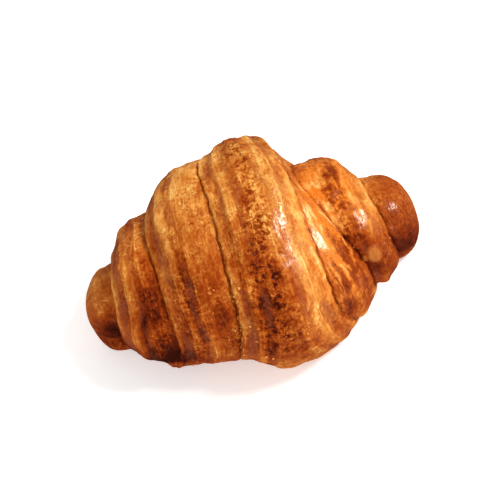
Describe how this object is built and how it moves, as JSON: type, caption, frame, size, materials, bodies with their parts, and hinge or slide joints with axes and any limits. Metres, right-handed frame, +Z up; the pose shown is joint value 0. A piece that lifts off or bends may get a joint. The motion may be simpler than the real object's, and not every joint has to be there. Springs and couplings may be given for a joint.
{
  "type": "croissant",
  "caption": "Baked croissant of rolled layered dough, with a wide middle turn, stepped turns to each side, a knob at each end and a flat base.",
  "frame": {"origin": "centre of the bounding box, on the flat base", "axes": "+X along the roll, towards the end with the larger knob; -Y is the front that faces the viewer; +Z up from the base"},
  "size_m": [0.1264, 0.0904, 0.0617],
  "materials": {
    "crust": "browned pastry crust with a thin egg glaze, from pale gold at the plies to dark brown at the edges"
  },
  "bodies": {
    "root": {"croissant": "crust"}
  },
  "joints": []
}
